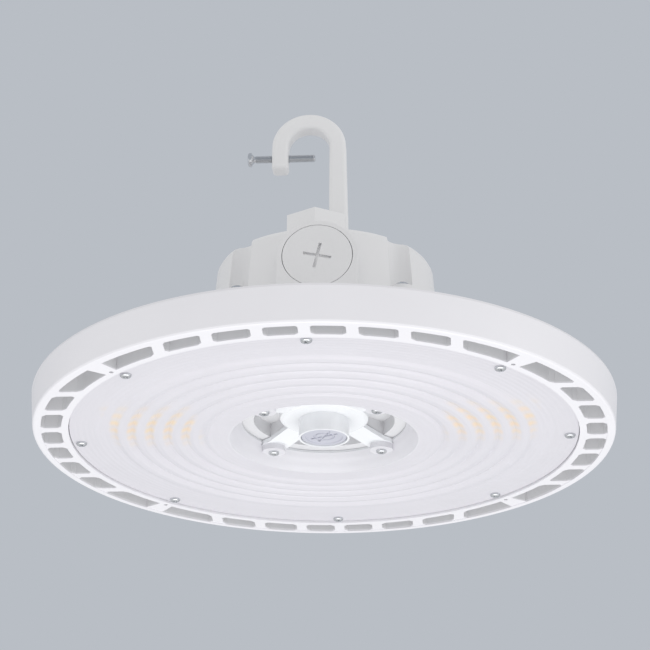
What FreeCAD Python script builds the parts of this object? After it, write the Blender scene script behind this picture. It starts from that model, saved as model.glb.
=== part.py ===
import FreeCAD, Part
import os
import re
import Sketcher
from FreeCAD import Vector

# High bay light: a round die-cast heat sink with a ring of air slots, a driver box
# on top that hangs from a cast hook, and an LED panel with a ribbed lens below.
# Frame: origin at the centre of the rim's lip, +Z up, -Y towards the front plug,
# +X towards the hook's stem. All lengths in millimetres, angles in degrees.

doc = FreeCAD.newDocument("high_bay_light")

# ---------------------------------------------------------------- driving sizes

SIZES = {
    # rim of the heat sink
    "rim_top_radius": 161.1,
    "rim_taper": 1.7,
    "rim_height": 20.7,
    "rim_foot_bevel": 1.2,
    "rim_top_bevel": 1.8,
    # ring of air slots
    "lip_width": 4.5,
    "slot_width": 11.1,
    "ring_width": 3.8,
    "slot_corner_round": 2.0,
    "slot_lift": 0.4,
    "rib_width": 6.0,
    "rib_first_step": 23.3,
    "rib_pitch": 25.2,
    "rib_bite": 2.0,
    "bridge_inner_width": 8.0,
    "bridge_outer_width": 12.8,
    # four small holes in the bridges, for a reflector
    "reflector_hole_radius": 1.2,
    "reflector_hole_depth": 8.0,
    # lens seat and LED plate
    "ledge_width": 9.6,
    "lens_drop": 1.8,
    "lens_wall": 2.2,
    "lens_edge_gap": 0.4,
    "gasket_height": 3.8,
    "gasket_width": 4.0,
    "gasket_gap": 0.4,
    "plate_thickness": 4.2,
    "led_well_radius": 54.0,
    # recess over the centre opening
    "opening_radius": 45.5,
    "lug_drop": 5.9,
    "lug_thickness": 3.3,
    "inner_flange_rise": 1.5,
    "inner_gasket_height": 1.5,
    "pocket_radius": 39.0,
    "web_width": 13.0,
    "recess_depth": 8.0,
    "ceiling_thickness": 4.0,
    "floor_step_radius": 50.0,
    # driver box: tower on the heat sink and cover on the tower
    "split_height": 50.0,
    "cover_gasket_height": 2.0,
    "cover_edge_height": 102.0,
    "cover_edge_radius": 61.2,
    "cover_edge_round": 3.0,
    "draft_angle": 5.0,
    "tower_wall": 4.0,
    "cover_wall": 3.5,
    "roof_rise": 3.0,
    "roof_thickness": 4.0,
    # screw channels at the corners of the driver box
    "channel_axis_radius": 63.6,
    "channel_radius": 8.6,
    "channel_wall": 3.2,
    "channel_floor_height": 70.5,
    "lug_radius": 7.4,
    # fins
    "fin_width": 3.2,
    "fin_inner_height": 47.0,
    "fin_outer_height": 18.0,
    "spine_width": 4.0,
    # front port and its plug
    "port_height": 82.0,
    "port_face_reach": 66.0,
    "port_boss_radius": 21.8,
    "port_boss_depth": 13.0,
    "plug_radius": 18.9,
    "plug_head_height": 5.0,
    "plug_gap": 0.35,
    "plug_stem_radius": 16.5,
    "plug_stem_length": 7.0,
    "plug_slot_width": 1.7,
    "plug_slot_length": 15.5,
    "plug_slot_depth": 1.8,
    "plug_turn": 12.0,
    "thread_gap": 0.1,
    "plug_ring_section": 1.2,
    # hook
    "hook_offset": 5.0,
    "hook_boss_radius": 24.0,
    "hook_boss_top": 118.0,
    "hook_boss_foot": 96.0,
    "hook_seal_height": 1.5,
    "hook_hex_flats": 33.2,
    "hook_hex_top": 136.0,
    "hook_stem_reach": 13.1,
    "hook_stem_taper": 1.25,
    "hook_bar_width": 9.65,
    "hook_bar_depth": 10.8,
    "hook_bar_round": 2.2,
    "hook_inner_radius": 12.05,
    "hook_height": 205.6,
    "hook_tip_length": 14.6,
    "spigot_radius": 10.0,
    "spigot_length": 33.0,
    "lock_nut_flats": 30.0,
    "lock_nut_height": 7.0,
    # small fasteners
    "safety_screw_drop": 5.7,
    "safety_screw_radius": 2.3,
    "safety_screw_length": 39.6,
    "safety_head_radius": 4.2,
    "safety_head_height": 2.2,
    "safety_neck_height": 1.5,
    "safety_head_standoff": 14.4,
    "set_screw_radius": 2.5,
    "set_screw_length": 12.0,
    "set_screw_height": 110.0,
    "cover_screw_radius": 2.5,
    "cover_head_radius": 4.3,
    "cover_head_height": 3.4,
    "cover_screw_length": 34.0,
    "lens_screw_inset": 5.2,
    "lens_screw_radius": 1.5,
    "lens_head_radius": 3.0,
    "lens_head_height": 1.6,
    "lens_screw_length": 9.0,
    "inner_screw_circle": 43.1,
    "inner_screw_length": 12.0,
    "hole_clearance": 0.3,
    # lens ridges over the rings of LEDs
    "ridge_start_radius": 66.0,
    "ridge_margin": 15.2,
    "ridge_drop": 1.3,
    "lens_inner_foot": 52.0,
    "lens_inner_drop": 0.9,
    "lens_inner_step": 1.0,
    # LED board
    "board_inner_radius": 61.0,
    "board_margin": 8.4,
    "board_thickness": 1.6,
    "chip_size": 3.0,
    "chip_height": 0.8,
    # sensor bracket and cap
    "hub_radius": 14.0,
    "hub_drop": 2.0,
    "hub_flange_radius": 25.0,
    "hub_flange_round": 2.4,
    "hub_flange_drop": 12.4,
    "hub_flange_wall": 2.0,
    "hub_ceiling_gap": 0.3,
    "hub_side_gap": 0.4,
    "arm_width": 14.0,
    "arm_thickness": 2.6,
    "arm_rise": 3.6,
    "lens_lug_radius": 6.5,
    "cap_radius": 12.6,
    "cap_height": 6.0,
    "cap_gap": 0.3,
    "cap_recess": 0.5,
    # driver and wiring
    "driver_length": 92.0,
    "driver_width": 60.0,
    "driver_height": 34.0,
    "driver_foot": 3.0,
    "driver_ear": 10.0,
    "driver_round": 1.5,
    "driver_screw_radius": 1.5,
    "driver_head_radius": 2.8,
    "driver_screw_length": 6.0,
    "terminal_length": 34.0,
    "terminal_width": 16.0,
    "terminal_height": 14.0,
    "wire_hole_radius": 3.0,
    "wire_hole_place": 57.0,
    "grommet_wall": 1.2,
    # cable gland
    "gland_height": 78.0,
    "gland_boss_radius": 17.0,
    "gland_boss_depth": 13.0,
    "gland_face_reach": 68.0,
    "gland_thread_radius": 10.0,
    "gland_thread_length": 12.0,
    "gland_flange_flats": 26.0,
    "gland_flange_length": 6.0,
    "gland_body_radius": 9.0,
    "gland_nut_radius": 12.0,
    "gland_nut_length": 15.0,
    "gland_nut_gap": 1.0,
    "gland_bore_radius": 5.0,
    "gland_seal_height": 1.5,
}

sheet = doc.addObject("Spreadsheet::Sheet", "Sizes")
for row, (alias, value) in enumerate(SIZES.items(), start=1):
    sheet.set(f"A{row}", alias)
    sheet.set(f"B{row}", str(value))
    sheet.setAlias(f"B{row}", alias)
trial = doc.addObject("Spreadsheet::Sheet", "Trial")
doc.recompute()


# ------------------------------------------------------------- modelling helpers

def link(formula):
    """A formula of size names, as an expression that reads the sheet."""
    return re.sub(r"[a-z]+(?:_[a-z]+)+", r"Sizes.\g<0>", str(formula))


def number(formula):
    """The present value of a formula, for choosing edges and starting sketches."""
    trial.set("A1", "=" + link(formula))
    trial.recompute()
    return float(trial.get("A1"))


def new_body(name):
    body = doc.addObject("PartDesign::Body", name)
    body.Label = name
    return body


def origin_part(body, role):
    return next(item for item in body.Origin.OriginFeatures if item.Role == role)


def new_sketch(body, plane, lift=None):
    """An empty sketch on one of the body's own planes, lifted along its normal."""
    sketch = body.newObject("Sketcher::SketchObject", f"{body.Name}_sketch")
    sketch.AttachmentSupport = [(origin_part(body, plane + "_Plane"), "")]
    sketch.MapMode = "FlatFace"
    if lift is not None:
        sketch.setExpression("AttachmentOffset.Base.z", link(lift))
    return sketch


def tie(sketch, kind, *where_and_formula):
    """One constraint whose value is bound to a formula of sizes."""
    *where, formula = where_and_formula
    index = sketch.addConstraint(Sketcher.Constraint(kind, *where, number(formula)))
    sketch.setExpression(f"Constraints[{index}]", link(formula))


def add_outline(sketch, points):
    """A closed outline. A point is (x, y), or (x, y, radius) where the edge that
    ends there is an arc of that radius, turning clockwise if it is negative."""
    spots = [Vector(number(point[0]), number(point[1]), 0) for point in points]
    first = sketch.GeometryCount
    total = len(points)
    arcs = {}
    for step, point in enumerate(points):
        start, end = spots[step - 1], spots[step]
        if len(point) == 2:
            sketch.addGeometry(Part.LineSegment(start, end), False)
            continue
        radius = number(point[2].lstrip("-"))
        chord = end - start
        rise = (radius ** 2 - chord.Length ** 2 / 4) ** 0.5
        side = -1 if point[2].startswith("-") else 1
        across = Vector(-chord.y, chord.x, 0).normalize() * side
        centre = (start + end) / 2 + across * rise
        middle = centre - across * radius
        edge = Part.Arc(start, middle, end)
        arcs[step] = side
        sketch.addGeometry(edge, False)
    for step, point in enumerate(points):
        here, after = first + step, first + (step + 1) % total
        end_of_here = 1 if arcs.get(step) == -1 else 2
        start_of_next = 2 if arcs.get((step + 1) % total) == -1 else 1
        sketch.addConstraint(
            Sketcher.Constraint("Coincident", here, end_of_here, after, start_of_next))
        tie(sketch, "DistanceX", here, end_of_here, point[0])
        tie(sketch, "DistanceY", here, end_of_here, point[1])
        if len(point) == 3:
            tie(sketch, "Radius", here, point[2].lstrip("-"))
    return sketch


def add_circle(sketch, x, y, radius):
    centre = Vector(number(x), number(y), 0)
    index = sketch.addGeometry(Part.Circle(centre, Vector(0, 0, 1), number(radius)), False)
    tie(sketch, "DistanceX", index, 3, x)
    tie(sketch, "DistanceY", index, 3, y)
    tie(sketch, "Radius", index, radius)
    return sketch


def extrude(body, sketch, length, kind="Pad", back=False, both=False):
    """Pad or pocket the sketch; back turns it round, both centres it."""
    before = body.Shape.Volume if body.Tip else 0.0
    feature = body.newObject(f"PartDesign::{kind}", f"{body.Name}_{kind.lower()}")
    feature.Profile = sketch
    feature.Reversed = back
    feature.Midplane = both
    feature.setExpression("Length", link(length))
    doc.recompute()
    change = feature.Shape.Volume - before
    if (change <= 0) == (kind == "Pad"):
        raise RuntimeError(f"{feature.Name} changes nothing: {change:.2f}")
    return feature


def revolve(body, sketch, kind="Revolution"):
    """Turn the sketch a full turn about its own vertical axis."""
    before = body.Shape.Volume if body.Tip else 0.0
    feature = body.newObject(f"PartDesign::{kind}", f"{body.Name}_{kind.lower()}")
    feature.Profile = sketch
    feature.ReferenceAxis = (sketch, ["V_Axis"])
    feature.Angle = 360
    doc.recompute()
    change = feature.Shape.Volume - before
    if (change <= 0) == (kind == "Revolution"):
        raise RuntimeError(f"{feature.Name} changes nothing: {change:.2f}")
    return feature


def polar(body, features, count):
    """Repeat features evenly about the Z axis."""
    pattern = body.newObject("PartDesign::PolarPattern", f"{body.Name}_pattern")
    pattern.Originals = features
    pattern.Axis = (origin_part(body, "Z_Axis"), [""])
    pattern.Angle = 360
    pattern.Occurrences = count
    body.Tip = pattern
    doc.recompute()
    return pattern


def round_edges(body, radius, chosen, kind="Fillet"):
    """Fillet or chamfer the edges of the body's tip that the test chooses."""
    base = body.Tip
    names = [f"Edge{place}" for place, edge in enumerate(base.Shape.Edges, start=1)
             if chosen(edge)]
    if not names:
        raise RuntimeError(f"no edges chosen on {body.Label}")
    feature = body.newObject(f"PartDesign::{kind}", f"{body.Name}_{kind.lower()}")
    feature.Base = (base, names)
    feature.setExpression("Radius" if kind == "Fillet" else "Size", link(radius))
    doc.recompute()
    return feature


# ------------------------------------------------------ places worked out from sizes

rim_foot = "(rim_top_radius - rim_taper)"
slot_outer = f"({rim_foot} - lip_width)"
slot_inner = f"({slot_outer} - slot_width)"
lens_seat = f"({slot_inner} - ring_width)"
lens_ledge = f"({lens_seat} - ledge_width)"
lens_screw_circle = f"({lens_seat} - lens_screw_inset)"
ridge_pitch = f"(({lens_ledge} - ridge_margin - ridge_start_radius) / 5)"
ledge_height = "(lens_drop + lens_wall)"
led_seat_height = f"({ledge_height} + gasket_height)"
plate_top = f"({led_seat_height} + plate_thickness)"
lens_lug_top = "(lug_drop + lug_thickness)"
arm_top = f"({lens_lug_top} + arm_thickness)"
inner_flange_top = f"({lens_lug_top} + inner_flange_rise)"
notch_radius = "(arm_width / 2 + lens_edge_gap)"
inner_flange_radius = "(led_well_radius - lens_edge_gap * 2)"
inner_seat_height = f"({inner_flange_top} + inner_gasket_height)"
ceiling_height = f"({inner_seat_height} + recess_depth)"
floor_height = f"({ceiling_height} + ceiling_thickness)"
cover_foot_height = "(split_height + cover_gasket_height)"
diagonal = "sqrt(0.5)"


def wall_radius(height):
    """Outer radius of the drafted driver box at a height."""
    return f"(cover_edge_radius + (cover_edge_height - ({height})) * tan(draft_angle))"


def along(radius, offset="0"):
    """Y of a point at x = offset on a circle, on the front side."""
    return f"(-sqrt(({radius})^2 - ({offset})^2))"



def add_ring(sketch, circle_radius, count, first_angle, radius):
    """Circles spaced evenly round a circle about the origin."""
    for step in range(count):
        angle = first_angle + step * 360.0 / count
        add_circle(sketch, f"{circle_radius} * cos({angle})",
                   f"{circle_radius} * sin({angle})", radius)
    return sketch


def bar_corner(radius, width, side):
    """A corner of a bar that lies along the front-right diagonal."""
    return (f"{diagonal} * ({radius} + {side} * {width} / 2)",
            f"-{diagonal} * ({radius} - {side} * {width} / 2)")


def add_hexagon(sketch, flats, x="0", y="0", turn=30):
    """A hexagon across the given flats; turned 30 degrees it has flats left and right."""
    reach = f"({flats}) / sqrt(3)"
    return add_outline(sketch, [
        (f"{x} + {reach} * cos({turn + 60 * step})",
         f"{y} + {reach} * sin({turn + 60 * step})") for step in range(6)])


def make_ring(name, foot, height, outer, inner, x="0", plane="XY", y="0"):
    """A plain ring with its axis square to the plane."""
    body = new_body(name)
    sketch = new_sketch(body, plane, foot)
    add_circle(sketch, x, y, outer)
    add_circle(sketch, x, y, inner)
    extrude(body, sketch, height)
    return body


# ------------------------------------------------------------------- heat sink

split_radius = wall_radius("split_height")
step_height = f"({plate_top} + plate_thickness)"


def make_heat_sink():
    """Die-cast: rim, ring of slots, LED plate, tower and parallel fins in one piece."""
    body = new_body("heat_sink")
    inner_radius = f"({split_radius} - tower_wall)"
    section = new_sketch(body, "XZ")
    add_outline(section, [
        ("0", ceiling_height),
        ("hub_flange_radius + hub_side_gap", ceiling_height),
        ("hub_flange_radius + hub_side_gap", f"{inner_seat_height} + arm_rise"),
        ("pocket_radius", inner_seat_height),
        ("led_well_radius", inner_seat_height),
        ("led_well_radius", led_seat_height),
        (lens_ledge, led_seat_height),
        (lens_ledge, ledge_height),
        (lens_seat, ledge_height),
        (lens_seat, "slot_lift"),
        (slot_inner, "slot_lift"),
        (slot_inner, plate_top),
        (wall_radius(plate_top), plate_top),
        (split_radius, "split_height"),
        (inner_radius, "split_height"),
        (inner_radius, step_height),
        ("floor_step_radius", step_height),
        ("floor_step_radius", floor_height),
        ("0", floor_height)])
    revolve(body, section)

    rim = new_sketch(body, "XZ")
    slant = f"((rim_top_radius - {rim_foot}) / rim_height)"
    add_outline(rim, [
        (slot_outer, "0"),
        (f"{rim_foot} - rim_foot_bevel", "0"),
        (f"{rim_foot} - rim_foot_bevel * 0.3", "rim_foot_bevel * 0.3"),
        (f"{rim_foot} + rim_foot_bevel * {slant}", "rim_foot_bevel"),
        (f"rim_top_radius - rim_top_bevel * {slant}", "rim_height - rim_top_bevel"),
        (f"rim_top_radius - rim_top_bevel * 0.3", "rim_height - rim_top_bevel * 0.3"),
        ("rim_top_radius - rim_top_bevel", "rim_height"),
        (slot_outer, "rim_height")])
    revolve(body, rim)

    # four pockets round the sensor, between webs on the diagonals
    corner_x, corner_y = bar_corner("sqrt(pocket_radius^2 - web_width^2 / 4)",
                                    "web_width", -1)
    pocket = new_sketch(body, "XY", inner_seat_height)
    add_outline(pocket, [("0", "-web_width * sqrt(0.5)"), (f"-{corner_x}", corner_y),
                         (corner_x, corner_y, "pocket_radius")])
    pocket_cut = extrude(body, pocket, "recess_depth", "Pocket", back=True)
    polar(body, [pocket_cut], 4)

    # ribs between the slots, parallel within each quarter, with filleted ends
    reach_in, reach_out = f"({slot_inner} - rib_bite)", f"({slot_outer} + rib_bite)"
    flare = "slot_corner_round"
    centres = ["0"]
    for step in range(3):
        for sign in ("", "-"):
            centres.append(f"({sign}1 * (rib_first_step + {step} * rib_pitch))")
    ribs = new_sketch(body, "XY", "slot_lift")
    for centre in centres:
        left, right = f"({centre} - rib_width / 2)", f"({centre} + rib_width / 2)"
        wide_left, wide_right = f"({left} - {flare})", f"({right} + {flare})"
        outer_left, outer_right = (along(slot_outer, left),
                                   along(slot_outer, right))
        inner_left, inner_right = (along(slot_inner, left),
                                   along(slot_inner, right))
        add_outline(ribs, [
            (wide_left, along(reach_out, wide_left)),
            (wide_right, along(reach_out, wide_right)),
            (wide_right, along(slot_outer, wide_right)),
            (right, f"{outer_right} + {flare}"),
            (right, f"{inner_right} - {flare}"),
            (wide_right, along(slot_inner, wide_right)),
            (wide_right, along(reach_in, wide_right)),
            (wide_left, along(reach_in, wide_left)),
            (wide_left, along(slot_inner, wide_left)),
            (left, f"{inner_left} - {flare}"),
            (left, f"{outer_left} + {flare}"),
            (wide_left, along(slot_outer, wide_left))])

    add_outline(ribs, [
        bar_corner(reach_in, "bridge_inner_width", -1),
        bar_corner(reach_out, "bridge_outer_width", -1),
        bar_corner(reach_out, "bridge_outer_width", 1),
        bar_corner(reach_in, "bridge_inner_width", 1)])
    rib_pad = extrude(body, ribs, f"{plate_top} - slot_lift")
    polar(body, [rib_pad], 4)

    # fins over the ribs, from the tower to the rim, and a spine along each diagonal
    tower_bite = f"({split_radius} - tower_wall / 2)"
    fin_reach = f"({slot_outer} + rib_bite / 2)"
    fins = new_sketch(body, "XY", f"{plate_top} - rib_bite")
    for centre in centres:
        left, right = f"({centre} - fin_width / 2)", f"({centre} + fin_width / 2)"
        meets_tower = abs(number(centre)) < number(tower_bite) * number(diagonal)
        near_left = along(tower_bite, left) if meets_tower else f"-abs({centre})"
        near_right = along(tower_bite, right) if meets_tower else f"-abs({centre})"
        add_outline(fins, [
            (left, along(fin_reach, left)), (right, along(fin_reach, right)),
            (right, near_right), (left, near_left)])
    fin_pad = extrude(body, fins, f"split_height - {plate_top} + rib_bite")
    spine = new_sketch(body, "XY", f"{plate_top} - rib_bite")
    add_outline(spine, [
        bar_corner(tower_bite, "spine_width", -1),
        bar_corner(fin_reach, "spine_width", -1),
        bar_corner(fin_reach, "spine_width", 1),
        bar_corner(tower_bite, "spine_width", 1)])
    spine_pad = extrude(body, spine, f"split_height - {plate_top} + rib_bite")
    polar(body, [fin_pad, spine_pad], 4)
    slope = new_sketch(body, "XZ")
    add_outline(slope, [
        (wall_radius("fin_inner_height"), "fin_inner_height"),
        (slot_outer, "fin_outer_height"),
        (slot_outer, "rim_height"),
        (f"{slot_outer} + rib_bite", "rim_height"),
        (f"{slot_outer} + rib_bite", "split_height + rim_height"),
        (split_radius, "split_height + rim_height"),
        (split_radius, "split_height")])
    revolve(body, slope, "Groove")

    # screw pillars at the corners of the tower
    pillars = add_ring(new_sketch(body, "XY", f"{plate_top} - rib_bite"),
                       "channel_axis_radius", 4, 45, "lug_radius")
    extrude(body, pillars, f"split_height - {plate_top} + rib_bite")
    bores = add_ring(new_sketch(body, "XY", "split_height"),
                     "channel_axis_radius", 4, 45, "cover_screw_radius + thread_gap")
    extrude(body, bores, "cover_screw_length - channel_floor_height + split_height "
            "+ cover_screw_radius", "Pocket")

    # bosses and threaded holes for the lens screws
    bosses = add_ring(new_sketch(body, "XY", arm_top),
                      "inner_screw_circle", 4, 45, "lens_lug_radius")
    extrude(body, bosses, f"{ceiling_height} - {arm_top}")
    threads = add_ring(new_sketch(body, "XY", arm_top),
                       "inner_screw_circle", 4, 45, "lens_screw_radius + thread_gap")
    extrude(body, threads, "inner_screw_length - lug_thickness - arm_thickness "
            "+ lens_screw_radius / 2", "Pocket", back=True)
    threads = add_ring(new_sketch(body, "XY", ledge_height),
                       lens_screw_circle, 8, 0, "lens_screw_radius + thread_gap")
    extrude(body, threads, "lens_screw_length - lens_wall + lens_screw_radius / 2",
            "Pocket", back=True)

    # small fixing holes in the bridges, and the hole for the LED leads
    small = add_ring(new_sketch(body, "XY", "slot_lift"),
                     slot_inner, 4, 45, "reflector_hole_radius")
    extrude(body, small, "reflector_hole_depth", "Pocket", back=True)
    wires = new_sketch(body, "XY", led_seat_height)
    add_circle(wires, "wire_hole_place", "0", "wire_hole_radius")
    extrude(body, wires, "plate_thickness * 3", "Pocket", back=True)

    # driver fixing holes in the floor
    holes = new_sketch(body, "XY", floor_height)
    add_driver_holes(holes, "driver_screw_radius + thread_gap")
    extrude(body, holes, "driver_screw_length - driver_foot + hole_clearance", "Pocket")


def add_driver_holes(sketch, radius):
    """Circles at the four ears of the driver."""
    for side_x in (1, -1):
        for side_y in (1, -1):
            add_circle(sketch, f"{side_x} * (driver_length / 2 - driver_ear / 2)",
                       f"{side_y} * driver_width / 4", radius)


# ----------------------------------------------------------------- driver cover

def port_sketch(body):
    """A sketch on the leaning face of the front port, with its origin on the axis."""
    sketch = new_sketch(body, "XZ")
    sketch.AttachmentOffset = FreeCAD.Placement(
        Vector(0, number("port_height"), number("port_face_reach")),
        FreeCAD.Rotation(Vector(-1, 0, 0), number("draft_angle")))
    sketch.setExpression("AttachmentOffset.Base.y", link("port_height"))
    sketch.setExpression("AttachmentOffset.Base.z", link("port_face_reach"))
    sketch.setExpression("AttachmentOffset.Rotation.Angle", link("draft_angle"))
    return sketch


def make_driver_cover():
    """Die-cast cap of the driver box: shell, screw channels, ports and hook boss."""
    body = new_body("driver_cover")
    foot_radius = wall_radius(cover_foot_height)
    roof_foot = "(cover_edge_height - roof_thickness)"
    outer = new_sketch(body, "XZ")
    add_outline(outer, [
        (f"{foot_radius} - cover_wall", cover_foot_height), (foot_radius, cover_foot_height),
        (wall_radius("cover_edge_height - cover_edge_round"),
         "cover_edge_height - cover_edge_round"),
        ("cover_edge_radius - cover_edge_round * 0.3",
         "cover_edge_height - cover_edge_round * 0.3"),
        ("cover_edge_radius - cover_edge_round", "cover_edge_height"),
        ("0", "cover_edge_height + roof_rise"),
        ("0", roof_foot),
        (f"{wall_radius(roof_foot)} - cover_wall", roof_foot)])
    revolve(body, outer)

    # pillars round the screw channels, trimmed to the wall, on lugs for the screws
    pillars = add_ring(new_sketch(body, "XY", cover_foot_height),
                       "channel_axis_radius", 4, 45, "channel_radius + channel_wall")
    extrude(body, pillars, f"{roof_foot} - {cover_foot_height}")
    outside = new_sketch(body, "XZ")
    add_outline(outside, [
        (foot_radius, cover_foot_height),
        ("cover_edge_radius * 2", cover_foot_height),
        ("cover_edge_radius * 2", roof_foot),
        (wall_radius(roof_foot), roof_foot)])
    revolve(body, outside, "Groove")
    lugs = add_ring(new_sketch(body, "XY", cover_foot_height),
                    "channel_axis_radius", 4, 45, "lug_radius")
    extrude(body, lugs, f"channel_floor_height - {cover_foot_height}")
    channels = add_ring(new_sketch(body, "XY", "channel_floor_height"),
                        "channel_axis_radius", 4, 45, "channel_radius")
    extrude(body, channels, "cover_edge_height", "Pocket", back=True)
    holes = add_ring(new_sketch(body, "XY", cover_foot_height),
                     "channel_axis_radius", 4, 45, "cover_screw_radius + hole_clearance")
    extrude(body, holes, "channel_floor_height", "Pocket", back=True)

    # front port: a boss with a round top and straight sides, counterbored for the plug
    disc = add_circle(port_sketch(body), "0", "0", "port_boss_radius")
    extrude(body, disc, "port_boss_depth", back=True)
    skirt = add_outline(port_sketch(body), [
        ("-port_boss_radius", f"-port_height + {cover_foot_height}"),
        ("port_boss_radius", f"-port_height + {cover_foot_height}"),
        ("port_boss_radius", "0"), ("-port_boss_radius", "0")])
    extrude(body, skirt, "port_boss_depth", back=True)
    below = new_sketch(body, "XY", cover_foot_height)
    add_circle(below, "0", "0", "cover_edge_radius * 2")
    extrude(body, below, "port_boss_depth", "Pocket")
    seat = add_circle(port_sketch(body), "0", "0", "plug_radius + plug_gap")
    extrude(body, seat, "plug_head_height + plug_ring_section", "Pocket")
    port = add_circle(port_sketch(body), "0", "0", "plug_stem_radius + thread_gap")
    extrude(body, port, "port_boss_depth * 2", "Pocket")

    # rear port for the cable gland
    rear = new_sketch(body, "XZ", "-gland_face_reach")
    add_circle(rear, "0", "gland_height", "gland_boss_radius")
    extrude(body, rear, "gland_boss_depth")
    entry = new_sketch(body, "XZ", "-gland_face_reach")
    add_circle(entry, "0", "gland_height", "gland_thread_radius + thread_gap")
    extrude(body, entry, "gland_boss_depth * 2", "Pocket", back=True)

    # hook boss on the roof, bored for the spigot and cross-drilled for the set screw
    hook_boss = new_sketch(body, "XY", "hook_boss_foot")
    add_circle(hook_boss, "-hook_offset", "0", "hook_boss_radius")
    extrude(body, hook_boss, "hook_boss_top - hook_boss_foot")
    bore = new_sketch(body, "XY", "hook_boss_top")
    add_circle(bore, "-hook_offset", "0", "spigot_radius + thread_gap")
    extrude(body, bore, "hook_boss_top", "Pocket")
    lock = new_sketch(body, "XZ", "-hook_boss_radius")
    add_circle(lock, "-hook_offset", "set_screw_height", "set_screw_radius + thread_gap")
    extrude(body, lock, "hook_boss_radius", "Pocket", back=True)


def make_cover_gasket():
    body = new_body("cover_gasket")
    ring = new_sketch(body, "XY", "split_height")
    add_circle(ring, "0", "0", f"{wall_radius(cover_foot_height)} - gasket_gap / 2")
    add_circle(ring, "0", "0", f"{split_radius} - tower_wall + gasket_gap")
    extrude(body, ring, "cover_gasket_height")
    ears = add_ring(new_sketch(body, "XY", "split_height"),
                    "channel_axis_radius", 4, 45, "lug_radius - gasket_gap / 2")
    extrude(body, ears, "cover_gasket_height")
    holes = add_ring(new_sketch(body, "XY", "split_height"),
                     "channel_axis_radius", 4, 45, "cover_screw_radius + hole_clearance")
    extrude(body, holes, "cover_gasket_height", "Pocket", back=True)


def make_port_plug():
    """Threaded plug with a crossed coin slot, on the leaning face."""
    body = new_body("port_plug")
    head = add_circle(port_sketch(body), "0", "0", "plug_radius")
    extrude(body, head, "plug_head_height", back=True)
    stem = add_circle(port_sketch(body), "0", "0", "plug_stem_radius")
    extrude(body, stem, "plug_head_height + plug_stem_length", back=True)
    for quarter in (0, 90):
        slot = port_sketch(body)
        corners = []
        for end, side in ((-1, -1), (1, -1), (1, 1), (-1, 1)):
            out = f"{end} * plug_slot_length / 2"
            off = f"{side} * plug_slot_width / 2"
            angle = f"({quarter} - plug_turn)"
            corners.append((f"{out} * cos({angle}) - {off} * sin({angle})",
                            f"{out} * sin({angle}) + {off} * cos({angle})"))
        add_outline(slot, corners)
        extrude(body, slot, "plug_slot_depth", "Pocket")


def make_plug_ring():
    """Seal between the plug's head and the bottom of its seat."""
    body = new_body("plug_ring")
    ring = port_sketch(body)
    add_circle(ring, "0", "0", "plug_radius")
    add_circle(ring, "0", "0", "plug_stem_radius + hole_clearance")
    extrude(body, ring, "plug_head_height + plug_ring_section", back=True)
    front = add_circle(port_sketch(body), "0", "0", "port_boss_radius")
    extrude(body, front, "plug_head_height", "Pocket")


# ------------------------------------------------------------------------- hook

seat_of_hook = "(hook_boss_top + hook_seal_height)"
stem_left = "(hook_stem_reach - hook_stem_taper - hook_bar_width)"
bend_x = f"({stem_left} - hook_inner_radius)"
bend_outer = "(hook_inner_radius + hook_bar_width)"
bend_z = f"(hook_height - {bend_outer})"
tip_right = f"({bend_x} - hook_inner_radius)"
tip_left = f"({bend_x} - {bend_outer})"
safety_screw_height = f"({bend_z} - safety_screw_drop)"


def make_hook():
    """Cast hook: hexagonal foot, flat-sided bar bent over, and a threaded spigot."""
    body = new_body("hook")
    bar = new_sketch(body, "XZ")
    tip_z = f"({bend_z} - hook_tip_length)"
    add_outline(bar, [
        (stem_left, seat_of_hook), ("hook_stem_reach", seat_of_hook),
        ("hook_stem_reach", "hook_hex_top"),
        (f"{bend_x} + {bend_outer}", bend_z),
        (bend_x, "hook_height", bend_outer),
        (tip_left, bend_z, bend_outer),
        (tip_left, tip_z), (tip_right, tip_z), (tip_right, bend_z),
        (bend_x, f"{bend_z} + hook_inner_radius", "-hook_inner_radius"),
        (stem_left, bend_z, "-hook_inner_radius")])
    extrude(body, bar, "hook_bar_depth", both=True)
    side = number("hook_bar_depth") / 2
    low = number("hook_hex_top")
    round_edges(body, "hook_bar_round", lambda edge: edge.BoundBox.ZMax > low and all(
        abs(abs(corner.Y) - side) < 0.01 for corner in edge.Vertexes))
    foot = add_hexagon(new_sketch(body, "XY", seat_of_hook), "hook_hex_flats",
                       x="-hook_offset")
    extrude(body, foot, f"hook_hex_top - {seat_of_hook}")
    spigot = new_sketch(body, "XY", seat_of_hook)
    add_circle(spigot, "-hook_offset", "0", "spigot_radius")
    extrude(body, spigot, "spigot_length", back=True)
    thread = new_sketch(body, "YZ", f"{tip_right} + hook_bar_round")
    add_circle(thread, "0", safety_screw_height, "safety_screw_radius + thread_gap")
    extrude(body, thread, "hook_bar_width + hook_bar_round * 2", "Pocket")


def make_lock_nut():
    body = new_body("hook_lock_nut")
    nut = new_sketch(body, "XY", "hook_boss_foot")
    add_hexagon(nut, "lock_nut_flats", x="-hook_offset")
    add_circle(nut, "-hook_offset", "0", "spigot_radius + thread_gap")
    extrude(body, nut, "lock_nut_height", back=True)


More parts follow.
